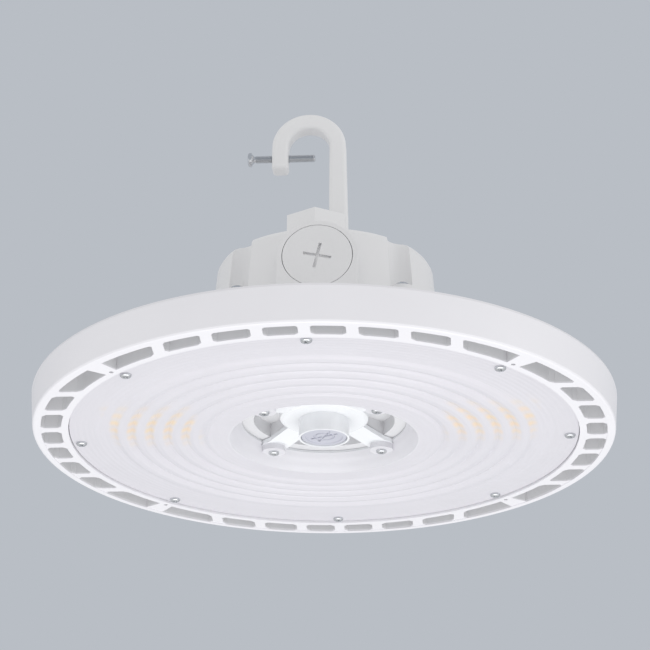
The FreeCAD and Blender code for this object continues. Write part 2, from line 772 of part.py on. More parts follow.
def make_safety_screw():
    """Screw through the hook's tip that closes its mouth, with a raised head."""
    body = new_body("safety_screw")
    head_left = f"({tip_left} - safety_head_standoff)"
    head = new_sketch(body, "YZ", head_left)
    add_circle(head, "0", safety_screw_height, "safety_head_radius")
    extrude(body, head, "safety_head_height")
    left = number(head_left)
    round_edges(body, "safety_head_height * 0.4", lambda edge: isinstance(
        edge.Curve, Part.Circle) and abs(edge.Curve.Center.x - left) < 0.01)
    neck = new_sketch(body, "YZ", f"{head_left} + safety_head_height")
    add_circle(neck, "0", safety_screw_height, "safety_head_radius - safety_neck_height * 0.2")
    extrude(body, neck, "safety_neck_height")
    right = left + number("safety_head_height + safety_neck_height")
    round_edges(body, "safety_neck_height * 0.99", lambda edge: isinstance(
        edge.Curve, Part.Circle) and abs(edge.Curve.Center.x - right) < 0.01, "Chamfer")
    shank = new_sketch(body, "YZ", head_left)
    add_circle(shank, "0", safety_screw_height, "safety_screw_radius")
    extrude(body, shank, "safety_screw_length")


def make_set_screw():
    """Locks the hook's spigot from the back of the hook boss."""
    body = new_body("hook_set_screw")
    section = new_sketch(body, "XZ", "-spigot_radius - thread_gap")
    add_circle(section, "-hook_offset", "set_screw_height", "set_screw_radius")
    extrude(body, section, "set_screw_length", back=True)
    socket = new_sketch(body, "XZ", "-spigot_radius - thread_gap - set_screw_length")
    add_hexagon(socket, "set_screw_radius", x="-hook_offset", y="set_screw_height")
    extrude(body, socket, "set_screw_radius", "Pocket", back=True)


# -------------------------------------------------------------------- small screws

def make_screws(name, circle, count, seat, head, head_height, shank, length, up=True):
    """A ring of screws; the head's underside is at the seat, the shank goes up or down."""
    body = new_body(name)
    heads = add_ring(new_sketch(body, "XY", seat), circle, count, 45, head)
    extrude(body, heads, head_height, back=up)
    far = number(seat) + number(head_height) * (-1 if up else 1)
    round_edges(body, f"{head_height} * 0.4", lambda edge: isinstance(
        edge.Curve, Part.Circle) and abs(edge.Curve.Center.z - far) < 0.01, "Chamfer")
    shanks = add_ring(new_sketch(body, "XY", seat), circle, count, 45, shank)
    extrude(body, shanks, length, back=not up)
    return body


# ------------------------------------------------------------------ lens and LEDs

def make_lens():
    """Clear cover with a ridge over each ring of LEDs and a cone to the opening."""
    body = new_body("lens")
    rim = f"({lens_seat} - lens_edge_gap)"
    curve = f"(({ridge_pitch} ^ 2 / 4 + ridge_drop ^ 2) / (2 * ridge_drop))"
    inner_top = "(lens_inner_drop + lens_wall)"
    flange_foot = f"({inner_flange_top} - lens_wall)"
    points = [(rim, "lens_drop"), (rim, ledge_height),
              ("ridge_start_radius + lens_inner_step", ledge_height),
              ("ridge_start_radius - lens_inner_step", inner_top),
              ("lens_inner_foot + lens_inner_step", inner_top),
              ("opening_radius + lens_wall * 1.9", flange_foot),
              (inner_flange_radius, flange_foot),
              (inner_flange_radius, inner_flange_top),
              ("opening_radius", inner_flange_top),
              ("lens_inner_foot", "lens_inner_drop"),
              ("ridge_start_radius - lens_inner_step * 2", "lens_inner_drop"),
              ("ridge_start_radius", "lens_drop")]
    for step in range(1, 6):
        points.append((f"ridge_start_radius + {ridge_pitch} * {step}", "lens_drop", curve))
    section = new_sketch(body, "XZ")
    add_outline(section, points)
    revolve(body, section)

    # thick places behind the cone, lugs in front of them and notches for the arms
    cups = add_ring(new_sketch(body, "XY", inner_top), "inner_screw_circle", 4, 45,
                    f"{notch_radius} + lens_wall * 0.8")
    extrude(body, cups, f"{inner_flange_top} - {inner_top}")
    inside = new_sketch(body, "XZ")
    add_outline(inside, [
        ("0", "lens_inner_drop"), ("lens_inner_foot", "lens_inner_drop"),
        ("opening_radius", inner_flange_top),
        ("opening_radius", f"{inner_flange_top} + lens_wall"),
        ("0", f"{inner_flange_top} + lens_wall")])
    revolve(body, inside, "Groove")
    lugs = add_ring(new_sketch(body, "XY", "lug_drop"),
                    "inner_screw_circle", 4, 45, "lens_lug_radius")
    extrude(body, lugs, "lug_thickness")
    notches = add_ring(new_sketch(body, "XY", lens_lug_top),
                       "inner_screw_circle", 4, 45, notch_radius)
    extrude(body, notches, "inner_flange_rise", "Pocket", back=True)
    holes = add_ring(new_sketch(body, "XY", "lug_drop"),
                     "inner_screw_circle", 4, 45, "lens_screw_radius + hole_clearance")
    extrude(body, holes, "lug_thickness", "Pocket", back=True)
    holes = add_ring(new_sketch(body, "XY", "lens_drop"),
                     lens_screw_circle, 8, 0, "lens_screw_radius + hole_clearance")
    extrude(body, holes, "lens_wall", "Pocket", back=True)


CHIPS = (20, 24, 28, 32, 36)


def make_led_chips():
    """Rings of LED chips on the board, one ring behind each ridge of the lens."""
    body = new_body("led_chips")
    foot = f"{led_seat_height} - board_thickness"
    for ring, count in enumerate(CHIPS):
        middle = f"(ridge_start_radius + {ridge_pitch} * {ring + 0.5})"
        chip = new_sketch(body, "XY", foot)
        add_outline(chip, [
            (f"{middle} - chip_size / 2", "-chip_size / 2"),
            (f"{middle} + chip_size / 2", "-chip_size / 2"),
            (f"{middle} + chip_size / 2", "chip_size / 2"),
            (f"{middle} - chip_size / 2", "chip_size / 2")])
        pad = extrude(body, chip, "chip_height", back=True)
        polar(body, [pad], count)


# ---------------------------------------------------------- sensor in the opening

def make_sensor_bracket():
    """White moulding: barrel, dished flange above it and four arms to the pads."""
    body = new_body("sensor_bracket")
    barrel = "(cap_radius + cap_gap)"
    top = f"({ceiling_height} - hub_ceiling_gap)"
    web = "(hub_flange_drop + hub_flange_wall)"
    section = new_sketch(body, "XZ")
    add_outline(section, [
        (barrel, "hub_drop"), ("hub_radius", "hub_drop"),
        ("hub_radius", "hub_flange_drop"),
        ("hub_flange_radius - hub_flange_round", "hub_flange_drop"),
        ("hub_flange_radius - hub_flange_round * 0.3",
         "hub_flange_drop + hub_flange_round * 0.3"),
        ("hub_flange_radius", "hub_flange_drop + hub_flange_round"),
        ("hub_flange_radius", top), ("hub_flange_radius - hub_flange_wall", top),
        ("hub_flange_radius - hub_flange_wall", web), ("0", web),
        ("0", "hub_flange_drop"), (barrel, "hub_flange_drop")])
    revolve(body, section)

    # an arm drops from the flange to a flat end between the lens and the heat sink
    root = "(hub_flange_radius - hub_flange_wall)"
    arm = new_sketch(body, "XZ")
    arm.AttachmentOffset = FreeCAD.Placement(
        Vector(0, 0, 0), FreeCAD.Rotation(Vector(0, 1, 0), 45))
    add_outline(arm, [
        (root, f"{lens_lug_top} + arm_rise"), ("pocket_radius", lens_lug_top),
        ("inner_screw_circle", lens_lug_top), ("inner_screw_circle", arm_top),
        ("pocket_radius", arm_top), (root, f"{arm_top} + arm_rise")])
    arm_pad = extrude(body, arm, "arm_width", both=True)
    polar(body, [arm_pad], 4)
    ends = add_ring(new_sketch(body, "XY", lens_lug_top),
                    "inner_screw_circle", 4, 45, "arm_width / 2")
    extrude(body, ends, "arm_thickness")
    holes = add_ring(new_sketch(body, "XY", lens_lug_top),
                     "inner_screw_circle", 4, 45, "lens_screw_radius + hole_clearance")
    extrude(body, holes, "arm_thickness", "Pocket", back=True)


def make_disc(name, foot, height, radius):
    body = new_body(name)
    sketch = add_circle(new_sketch(body, "XY", foot), "0", "0", radius)
    extrude(body, sketch, height)
    return body


# -------------------------------------------------------------- driver and wiring

def add_box(sketch, x, y, length, width):
    return add_outline(sketch, [
        (f"{x} - {length} / 2", f"{y} - {width} / 2"),
        (f"{x} + {length} / 2", f"{y} - {width} / 2"),
        (f"{x} + {length} / 2", f"{y} + {width} / 2"),
        (f"{x} - {length} / 2", f"{y} + {width} / 2")])


def make_led_driver():
    """Power supply in a closed case, with a foot plate that is screwed down."""
    body = new_body("led_driver")
    foot = add_box(new_sketch(body, "XY", floor_height), "0", "0",
                   "driver_length", "driver_width")
    extrude(body, foot, "driver_foot")
    case = add_box(new_sketch(body, "XY", floor_height), "0", "0",
                   "(driver_length - driver_ear * 2)", "driver_width")
    extrude(body, case, "driver_height")
    top = number(floor_height) + number("driver_height")
    round_edges(body, "driver_round", lambda edge: edge.BoundBox.ZMin > top - 0.01)
    holes = new_sketch(body, "XY", floor_height)
    add_driver_holes(holes, "driver_screw_radius + hole_clearance")
    extrude(body, holes, "driver_foot", "Pocket", back=True)


def make_driver_screws():
    body = new_body("driver_screws")
    seat = f"{floor_height} + driver_foot"
    heads = new_sketch(body, "XY", seat)
    add_driver_holes(heads, "driver_head_radius")
    extrude(body, heads, "lens_head_height")
    shanks = new_sketch(body, "XY", seat)
    add_driver_holes(shanks, "driver_screw_radius")
    extrude(body, shanks, "driver_screw_length", back=True)


def make_terminal_block():
    """Row of screw terminals on top of the driver, facing the front port."""
    body = new_body("terminal_block")
    foot = f"{floor_height} + driver_height"
    place_y = "-driver_width / 4"
    block = add_box(new_sketch(body, "XY", foot), "0", place_y,
                    "terminal_length", "terminal_width")
    extrude(body, block, "terminal_height")
    wells = new_sketch(body, "XY", f"{foot} + terminal_height")
    for step in (-1, 0, 1):
        add_circle(wells, f"{step} * terminal_length / 3", place_y, "terminal_width / 5")
    extrude(body, wells, "terminal_height / 3", "Pocket")


def make_wire_grommet():
    body = new_body("wire_grommet")
    tube = new_sketch(body, "XY", led_seat_height)
    add_circle(tube, "wire_hole_place", "0", "wire_hole_radius - thread_gap")
    add_circle(tube, "wire_hole_place", "0", "wire_hole_radius - grommet_wall")
    extrude(body, tube, f"{step_height} - {led_seat_height}")
    collar = new_sketch(body, "XY", step_height)
    add_circle(collar, "wire_hole_place", "0", "wire_hole_radius + grommet_wall")
    add_circle(collar, "wire_hole_place", "0", "wire_hole_radius - grommet_wall")
    extrude(body, collar, "grommet_wall")


# ------------------------------------------------------------------- cable gland

gland_seat = "(gland_face_reach + gland_seal_height)"


def make_cable_gland():
    """Gland body: thread into the rear port, hexagonal flange and outer thread."""
    body = new_body("cable_gland")
    flange = new_sketch(body, "XZ", f"-{gland_seat}")
    add_hexagon(flange, "gland_flange_flats", y="gland_height")
    extrude(body, flange, "gland_flange_length", back=True)
    stem = new_sketch(body, "XZ", f"-{gland_seat}")
    add_circle(stem, "0", "gland_height", "gland_thread_radius")
    extrude(body, stem, "gland_thread_length")
    neck = new_sketch(body, "XZ", f"-{gland_seat}")
    add_circle(neck, "0", "gland_height", "gland_body_radius")
    extrude(body, neck, "gland_flange_length + gland_nut_length * 0.6", back=True)
    bore = new_sketch(body, "XZ", f"gland_thread_length - {gland_seat}")
    add_circle(bore, "0", "gland_height", "gland_bore_radius")
    extrude(body, bore, "gland_thread_length * 2 + gland_nut_length", "Pocket")


def make_gland_nut():
    """Domed nut over the gland's outer thread, open for the cord."""
    body = new_body("gland_nut")
    foot = f"({gland_seat} + gland_flange_length + gland_nut_gap)"
    nut = new_sketch(body, "XZ", f"-{foot}")
    add_circle(nut, "0", "gland_height", "gland_nut_radius")
    extrude(body, nut, "gland_nut_length", back=True)
    end = number(foot) + number("gland_nut_length")
    round_edges(body, "gland_nut_radius * 0.3", lambda edge: isinstance(
        edge.Curve, Part.Circle) and abs(edge.Curve.Center.y - end) < 0.01, "Chamfer")
    thread = new_sketch(body, "XZ", f"-{foot}")
    add_circle(thread, "0", "gland_height", "gland_body_radius + thread_gap")
    extrude(body, thread, "gland_nut_length * 0.6", "Pocket")
    bore = new_sketch(body, "XZ", f"-{foot}")
    add_circle(bore, "0", "gland_height", "gland_bore_radius")
    extrude(body, bore, "gland_nut_length * 2", "Pocket")


# ------------------------------------------------------------- all the sub-parts

make_heat_sink()
make_driver_cover()
make_cover_gasket()
make_screws("cover_screws", "channel_axis_radius", 4, "channel_floor_height",
            "cover_head_radius", "cover_head_height", "cover_screw_radius",
            "cover_screw_length", up=False)
make_port_plug()
make_plug_ring()
make_hook()
make_ring("hook_seal", "hook_boss_top", "hook_seal_height", "hook_hex_flats / 2 - 2",
          "spigot_radius + hole_clearance", x="-hook_offset")
make_lock_nut()
make_set_screw()
make_safety_screw()
make_lens()
make_ring("lens_gasket", ledge_height, "gasket_height", f"{lens_ledge} - gasket_gap",
          f"{lens_ledge} - gasket_gap - gasket_width")
make_ring("inner_gasket", inner_flange_top, "inner_gasket_height",
          f"{inner_flange_radius} - lens_edge_gap / 2",
          f"inner_screw_circle + {notch_radius} + lens_edge_gap / 2")
make_screws("lens_screws", lens_screw_circle, 8, "lens_drop", "lens_head_radius",
            "lens_head_height", "lens_screw_radius", "lens_screw_length")
make_screws("inner_screws", "inner_screw_circle", 4, "lug_drop", "lens_head_radius",
            "lens_head_height", "lens_screw_radius", "inner_screw_length")
make_ring("led_board", f"{led_seat_height} - board_thickness", "board_thickness",
          f"{lens_ledge} - board_margin", "board_inner_radius")
make_led_chips()
make_sensor_bracket()
make_disc("sensor_cap", "hub_drop + cap_recess", "cap_height", "cap_radius")
make_disc("sensor_socket", "hub_drop + cap_recess + cap_height",
          "hub_flange_drop - hub_drop - cap_recess - cap_height", "cap_radius - cap_gap")
make_led_driver()
make_driver_screws()
make_terminal_block()
make_wire_grommet()
make_cable_gland()
make_gland_nut()
make_ring("gland_seal", f"-{gland_seat}", "gland_seal_height",
          "gland_flange_flats / 2", "gland_thread_radius + hole_clearance",
          plane="XZ", y="gland_height")

doc.removeObject(trial.Name)
doc.recompute()
for item in doc.Objects:
    if "Invalid" in item.State or "Error" in item.State:
        raise RuntimeError(f"{item.Label} does not compute: {item.State}")
os.makedirs("parts", exist_ok=True)
for body in doc.findObjects("PartDesign::Body"):
    if body.Shape.isNull() or not body.Shape.isValid():
        raise RuntimeError(f"{body.Label} has no valid shape")
    body.Shape.exportStep(f"parts/{body.Label}.step")
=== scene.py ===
import math
import bmesh
import bpy
from mathutils import Matrix, Vector


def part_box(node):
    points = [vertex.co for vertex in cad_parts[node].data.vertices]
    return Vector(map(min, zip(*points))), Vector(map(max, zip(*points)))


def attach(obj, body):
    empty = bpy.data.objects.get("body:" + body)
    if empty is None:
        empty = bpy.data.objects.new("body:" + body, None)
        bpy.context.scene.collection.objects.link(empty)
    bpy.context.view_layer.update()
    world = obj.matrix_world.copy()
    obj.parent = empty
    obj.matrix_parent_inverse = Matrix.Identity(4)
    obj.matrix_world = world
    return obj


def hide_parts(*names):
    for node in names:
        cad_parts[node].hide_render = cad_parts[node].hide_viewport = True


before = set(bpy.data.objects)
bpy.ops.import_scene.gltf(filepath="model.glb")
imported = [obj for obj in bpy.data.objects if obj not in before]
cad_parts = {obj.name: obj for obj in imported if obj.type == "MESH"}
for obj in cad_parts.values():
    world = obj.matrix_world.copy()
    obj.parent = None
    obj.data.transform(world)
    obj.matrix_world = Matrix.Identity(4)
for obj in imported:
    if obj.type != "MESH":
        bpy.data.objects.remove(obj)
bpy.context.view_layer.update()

# ---------------------------------------------------------------------- camera
# A long lens, low in front of the light and turned up to it, as when the light
# hangs overhead. Distances are in metres.

view_azimuth = math.radians(3.856)
view_tilt_up = math.radians(24.391)
view_roll = math.radians(0.414)
camera_place = (0.0694, -1.0284, -0.3968)
camera_data = bpy.data.cameras.new("camera")
camera_data.sensor_width = 36.0
camera_data.lens = 110.9
camera_data.clip_end = 20.0
camera = bpy.data.objects.new("camera", camera_data)
bpy.context.scene.collection.objects.link(camera)
camera.matrix_world = (
    Matrix.Translation(camera_place)
    @ Matrix.Rotation(view_azimuth, 4, "Z")
    @ Matrix.Rotation(math.pi / 2 + view_tilt_up, 4, "X")
    @ Matrix.Rotation(view_roll, 4, "Z"))
bpy.context.scene.camera = camera
bpy.context.scene.view_settings.view_transform = "Standard"


# ------------------------------------------------------------ studio and floor
# A pale painted floor well below the hanging light, pale surroundings, and
# three soft lamps: a wide one low in front and a weaker one on each side.

def colour(code):
    """An sRGB hex colour as linear red, green, blue and alpha."""
    channels = [int(code[place:place + 2], 16) / 255 for place in (0, 2, 4)]
    return tuple(c / 12.92 if c <= 0.04045 else ((c + 0.055) / 1.055) ** 2.4
                 for c in channels) + (1.0,)


def add_node(tree, kind, sockets=None, **settings):
    """A node with its settings, and a value or another's output at each socket."""
    node = tree.nodes.new(kind)
    for name, setting in settings.items():
        setattr(node, name, setting)
    for socket, given in (sockets or {}).items():
        if isinstance(given, bpy.types.NodeSocket):
            tree.links.new(given, node.inputs[socket])
        else:
            node.inputs[socket].default_value = given
    return node


backdrop_colour, room_strength = colour("B9BEC5"), 0.80
world = bpy.data.worlds.new("studio")
bpy.context.scene.world = world
world.use_nodes = True
sky = world.node_tree
sky.nodes.clear()
light_path = add_node(sky, "ShaderNodeLightPath")
seen_or_mirrored = add_node(
    sky, "ShaderNodeMath", {0: light_path.outputs["Is Camera Ray"],
                            1: light_path.outputs["Is Glossy Ray"]}, operation="MAXIMUM")
seen_at_all = add_node(
    sky, "ShaderNodeMath", {0: seen_or_mirrored.outputs[0],
                            1: light_path.outputs["Is Transmission Ray"]},
    operation="MAXIMUM")
room_light = add_node(sky, "ShaderNodeBackground",
                      {"Color": (1, 1, 1, 1), "Strength": room_strength})
backdrop = add_node(sky, "ShaderNodeBackground",
                    {"Color": backdrop_colour, "Strength": 1.0})
room = add_node(sky, "ShaderNodeMixShader", {0: seen_at_all.outputs[0],
                                             1: room_light.outputs[0],
                                             2: backdrop.outputs[0]})
add_node(sky, "ShaderNodeOutputWorld", {"Surface": room.outputs[0]})

floor_depth, floor_size = 2.4, 14.0
bpy.ops.object.select_all(action="DESELECT")
bpy.ops.mesh.primitive_plane_add(size=floor_size, location=(0, 0, -floor_depth))
bpy.ops.object.transform_apply(location=True, rotation=True, scale=True)
floor = bpy.context.object
floor.name = "floor"
floor_paint = bpy.data.materials.new("matt_floor_paint")
floor_paint.use_nodes = True
floor_shader = floor_paint.node_tree.nodes["Principled BSDF"]
floor_shader.inputs["Base Color"].default_value = colour("EBECED")
floor_shader.inputs["Roughness"].default_value = 0.7
floor.data.materials.append(floor_paint)


def soft_lamp(name, place, width, power):
    """A square lamp at a place, turned to the middle of the light."""
    lamp_data = bpy.data.lights.new(name, "AREA")
    lamp_data.size = width
    lamp_data.energy = power
    lamp = bpy.data.objects.new(name, lamp_data)
    bpy.context.scene.collection.objects.link(lamp)
    middle_of_light = Vector((0, 0, 0.05))
    aim = middle_of_light - Vector(place)
    lamp.matrix_world = (Matrix.Translation(place)
                         @ aim.to_track_quat("-Z", "Y").to_matrix().to_4x4())


soft_lamp("low_lamp", (0.1, -0.35, -1.35), 2.0, 17.0)
soft_lamp("left_lamp", (-1.5, -0.35, 0.0), 0.9, 0.9)
soft_lamp("right_lamp", (1.5, -0.35, 0.0), 0.9, 2.6)


# ------------------------------------- heat sink, driver cover, port plug, hook
# Die-cast aluminium under a white polyester powder coat. The coat has a fine
# orange-peel skin and shines softly.

def grained_finish(name, shades, roughness, grains_mm, depth_mm, strength=1.0,
                   stretch=None):
    """A finish with grains of three widths: for its shade, its gloss, its height."""
    material = bpy.data.materials.new(name)
    material.use_nodes = True
    tree = material.node_tree
    shader = tree.nodes["Principled BSDF"]
    place = add_node(tree, "ShaderNodeTexCoord").outputs["Object"]
    if stretch:
        place = add_node(tree, "ShaderNodeMapping",
                         {"Vector": place, "Scale": stretch}).outputs[0]
    noises = {width: add_node(tree, "ShaderNodeTexNoise",
                              {"Vector": place, "Scale": 1000.0 / width,
                               "Detail": 2.0, "Roughness": 0.5}).outputs[0]
              for width in dict.fromkeys(grains_mm)}
    shade, gloss, height = (noises[width] for width in grains_mm)
    tinted = add_node(tree, "ShaderNodeMix",
                      {0: shade, 6: colour(shades[0]), 7: colour(shades[1])},
                      data_type="RGBA")
    dulled = add_node(tree, "ShaderNodeMapRange",
                      {"Value": gloss, "To Min": roughness[0], "To Max": roughness[1]})
    raised = add_node(tree, "ShaderNodeBump", {"Distance": depth_mm / 1000.0,
                                               "Strength": strength, "Height": height})
    tree.links.new(tinted.outputs[2], shader.inputs["Base Color"])
    tree.links.new(dulled.outputs[0], shader.inputs["Roughness"])
    tree.links.new(raised.outputs[0], shader.inputs["Normal"])
    return material, shader


def dress(material, *names):
    """Give this finish to CAD nodes."""
    for name in names:
        for material_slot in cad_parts[name].material_slots:
            material_slot.material = material


def powder_coat(name, shades):
    """White polyester powder coat, between two shades, with a 1.6 mm orange peel."""
    material, shader = grained_finish(name, shades, roughness=(0.34, 0.46),
                                      grains_mm=(45.0, 1.6, 1.6), depth_mm=0.03,
                                      strength=0.5)
    shader.inputs["IOR"].default_value = 1.5
    shader.inputs["Coat Weight"].default_value = 0.12
    shader.inputs["Coat Roughness"].default_value = 0.3
    return material, shader


housing_coat, _ = powder_coat("polyester_powder_coat", ("E9E9EA", "EEEEEF"))
dress(housing_coat, "driver_cover", "port_plug", "hook")

# Painted shade: inside the slots and the middle recess the coat is mixed to a greyer
# tone, which stands for the shade that falls there. Radii and heights are in metres.
slot_bore, slot_rim, slot_mouth = 0.1436, 0.1551, 0.0012
recess_rim, recess_ceiling = 0.052, 0.0215
sink_coat, sink_shader = powder_coat("powder_coat_with_painted_recess_shade", ("E5E4E8", "EAE9ED"))
sink_tree = sink_coat.node_tree
sink_axes = add_node(sink_tree, "ShaderNodeSeparateXYZ", {
    0: add_node(sink_tree, "ShaderNodeTexCoord").outputs["Object"]})
sink_steps = {"x": sink_axes.outputs["X"], "y": sink_axes.outputs["Y"],
              "z": sink_axes.outputs["Z"]}
# Each row names a step, then the operation and its terms: numbers or other steps.
for step, operation, *terms in (
        ("x_squared", "MULTIPLY", "x", "x"),
        ("y_squared", "MULTIPLY", "y", "y"),
        ("radius_squared", "ADD", "x_squared", "y_squared"),
        ("radius", "SQRT", "radius_squared"),
        ("past_bore", "GREATER_THAN", "radius", slot_bore),
        ("inside_slot_rim", "LESS_THAN", "radius", slot_rim),
        ("above_mouth", "GREATER_THAN", "z", slot_mouth),
        ("slot_band", "MULTIPLY", "past_bore", "inside_slot_rim"),
        ("in_slots", "MULTIPLY", "slot_band", "above_mouth"),
        ("inside_recess_rim", "LESS_THAN", "radius", recess_rim),
        ("under_ceiling", "LESS_THAN", "z", recess_ceiling),
        ("in_recess", "MULTIPLY", "inside_recess_rim", "under_ceiling"),
        ("painted_shade", "MAXIMUM", "in_slots", "in_recess")):
    sink_steps[step] = add_node(
        sink_tree, "ShaderNodeMath",
        {socket: sink_steps.get(term, term) for socket, term in enumerate(terms)},
        operation=operation).outputs[0]
full_coat = sink_shader.inputs["Base Color"].links[0].from_socket
# The painted shade: the coat turns grey wherever the slot and recess mask is set.
painted_shade_mix = add_node(sink_tree, "ShaderNodeMix",
                     {0: sink_steps["painted_shade"], 6: full_coat, 7: colour("DADADC")},
                     data_type="RGBA")
sink_tree.links.new(painted_shade_mix.outputs[2], sink_shader.inputs["Base Color"])
dress(sink_coat, "heat_sink")

# --------------------------------------------------------------- gaskets, seals
# Moulded silicone rubber, dark grey and matt, squeezed between the castings,
# under the plug and the hook's foot, and round the leads and the cable.

rubber, rubber_shader = grained_finish(
    "silicone_rubber", ("3C3F43", "4A4D51"), roughness=(0.55, 0.75),
    grains_mm=(0.8, 0.8, 0.8), depth_mm=0.02)
rubber_shader.inputs["IOR"].default_value = 1.41
dress(rubber, "cover_gasket", "plug_ring", "hook_seal", "wire_grommet", "gland_seal")

# The two rings behind the lens are of white rubber. The inner one has a lip that
# reaches to the edge of the opening and closes the joint there.
pale_rubber, pale_shader = grained_finish(
    "white_silicone_rubber", ("DDDEE1", "E6E7EA"), roughness=(0.5, 0.65),
    grains_mm=(0.8, 0.8, 0.8), depth_mm=0.02)
pale_shader.inputs["IOR"].default_value = 1.41
dress(pale_rubber, "lens_gasket")


def pick(piece, kind, wanted):
    """In edit mode, select only the faces or edges that pass this test."""
    bpy.ops.mesh.select_mode(type=kind)
    bpy.ops.mesh.select_all(action="DESELECT")
    shape = bmesh.from_edit_mesh(piece.data)
    for part in (shape.faces if kind == "FACE" else shape.edges):
        part.select_set(wanted(part))
    shape.select_flush_mode()
    bmesh.update_edit_mesh(piece.data)


def middle(edge):
    """The middle of an edge."""
    return (edge.verts[0].co + edge.verts[1].co) / 2


ring_low, ring_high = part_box("inner_gasket")
ring_radius, ring_height = ring_high.y, ring_high.z - ring_low.z
ring_bore, lip_round = 0.0456, 0.0005
bpy.ops.object.select_all(action="DESELECT")
bpy.ops.mesh.primitive_cylinder_add(vertices=128, radius=ring_radius, depth=ring_height,
                                    end_fill_type="NGON",
                                    location=(0, 0, (ring_low.z + ring_high.z) / 2))
bpy.ops.object.transform_apply(location=True, rotation=True, scale=True)
lip_ring = bpy.context.object
lip_ring.name = "inner_gasket_with_lip"
bpy.ops.object.mode_set(mode="EDIT")
pick(lip_ring, "FACE", lambda face: abs(face.normal.z) > 0.9)
bpy.ops.mesh.inset(thickness=ring_radius - ring_bore)
bpy.ops.mesh.bridge_edge_loops()
pick(lip_ring, "EDGE", lambda edge: middle(edge).to_2d().length < ring_bore * 1.001
     and abs(edge.verts[0].co.z - edge.verts[1].co.z) < 0.0001)
bpy.ops.mesh.bevel(offset=lip_round, segments=3, affect="EDGES")
bpy.ops.object.mode_set(mode="OBJECT")
bpy.ops.object.shade_smooth_by_angle(angle=math.radians(35))
lip_ring.data.materials.clear()
lip_ring.data.materials.append(pale_rubber)
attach(lip_ring, "root")
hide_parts("inner_gasket")

# ------------------------------------------------------ LED board and its chips
# An aluminium-backed ring under white solder mask, and small white packages
# with a face of yellow phosphor in silicone.

board_mask, _ = grained_finish(
    "white_solder_mask", ("E4E6EA", "ECEEF1"), roughness=(0.3, 0.4),
    grains_mm=(3.0, 3.0, 3.0), depth_mm=0.01)
dress(board_mask, "led_board")
phosphor, phosphor_shader = grained_finish(
    "phosphor_in_silicone", ("EBC24E", "F5D36A"), roughness=(0.3, 0.5),
    grains_mm=(0.5, 0.5, 0.5), depth_mm=0.01)
phosphor_shader.inputs["IOR"].default_value = 1.41
dress(phosphor, "led_chips")

# ------------------------------------------------------------------------- lens
# One injection moulding of frosted polycarbonate, with five broad steps and
# fine turned rings. Painted glow: faint warm patches at the left and right stand for
# the chips shining through, brightest opposite each chip and in each step's hollow.

frosted = bpy.data.materials.new("frosted_polycarbonate")
frosted.use_nodes = True
lens_tree = frosted.node_tree
lens_shader = lens_tree.nodes["Principled BSDF"]
lens_place = add_node(lens_tree, "ShaderNodeTexCoord").outputs["Object"]
lens_axes = add_node(lens_tree, "ShaderNodeSeparateXYZ", {0: lens_place})
lens_steps = {"x": lens_axes.outputs["X"], "y": lens_axes.outputs["Y"]}
# A wave's turns, one after another, are this far apart. Lengths are in metres.
step_width, ring_width, chip_spacing = 0.00984, 0.0031, 0.0105
patch_row, chip_share, patch_share, ring_depth = 0.024, 0.35, 0.75, 0.000045
for step, operation, *terms in (
        ("sideways", "ABSOLUTE", "x"),
        ("x_squared", "MULTIPLY", "x", "x"),
        ("y_squared", "MULTIPLY", "y", "y"),
        ("radius_squared", "ADD", "x_squared", "y_squared"),
        ("radius", "SQRT", "radius_squared"),
        ("step_turn", "MULTIPLY", "radius", 2 * math.pi / step_width),
        ("step_wave", "SINE", "step_turn"),
        ("ring_turn", "MULTIPLY", "radius", 2 * math.pi / ring_width),
        ("ring_wave", "SINE", "ring_turn"),
        ("chip_turn", "MULTIPLY", "y", 2 * math.pi / chip_spacing),
        ("chip_wave", "SINE", "chip_turn"),
        ("chip_sway", "MULTIPLY", "chip_wave", chip_share),
        ("chip_glow", "ADD", "chip_sway", 1.0 - chip_share),
        ("from_row", "ADD", "y", patch_row),
        ("off_row", "ABSOLUTE", "from_row")):
    lens_steps[step] = add_node(
        lens_tree, "ShaderNodeMath",
        {socket: lens_steps.get(term, term) for socket, term in enumerate(terms)},
        operation=operation).outputs[0]
# Each row rises smoothly from 0 to 1 as its measure goes between two values.
for rise, measure, start, end in (
        ("past_inner_chips", "sideways", 0.064, 0.072),
        ("before_outer_chips", "sideways", 0.119, 0.112),
        ("near_row", "off_row", 0.038, 0.002),
        ("in_hollow", "step_wave", 0.6, -0.7),
        ("painted_cone_highlight", "radius", 0.0535, 0.0515)):
    lens_steps[rise] = add_node(
        lens_tree, "ShaderNodeMapRange",
        {"Value": lens_steps[measure], "From Min": start, "From Max": end},
        interpolation_type="SMOOTHSTEP").outputs[0]
# Painted glow of the chips: a warm patch over the rows of chips, mixed into the lens
# colour.
painted_chip_glow = lens_steps["past_inner_chips"]
for factor in (lens_steps["before_outer_chips"], lens_steps["near_row"],
               lens_steps["in_hollow"], lens_steps["chip_glow"], patch_share):
    painted_chip_glow = add_node(lens_tree, "ShaderNodeMath", {0: painted_chip_glow, 1: factor},
                     operation="MULTIPLY").outputs[0]
cloud, blush, frost = (
    add_node(lens_tree, "ShaderNodeTexNoise",
             {"Vector": lens_place, "Scale": 1000.0 / width_mm, "Detail": 2.0,
              "Roughness": 0.5}).outputs[0]
    for width_mm in (30.0, 9.0, 0.7))
milk, warm = (
    add_node(lens_tree, "ShaderNodeMix", {0: amount, 6: colour(low), 7: colour(high)},
             data_type="RGBA").outputs[2]
    for amount, low, high in ((cloud, "E7E5EB", "ECEAF0"), (blush, "FFE9B4", "FFDFC4")))
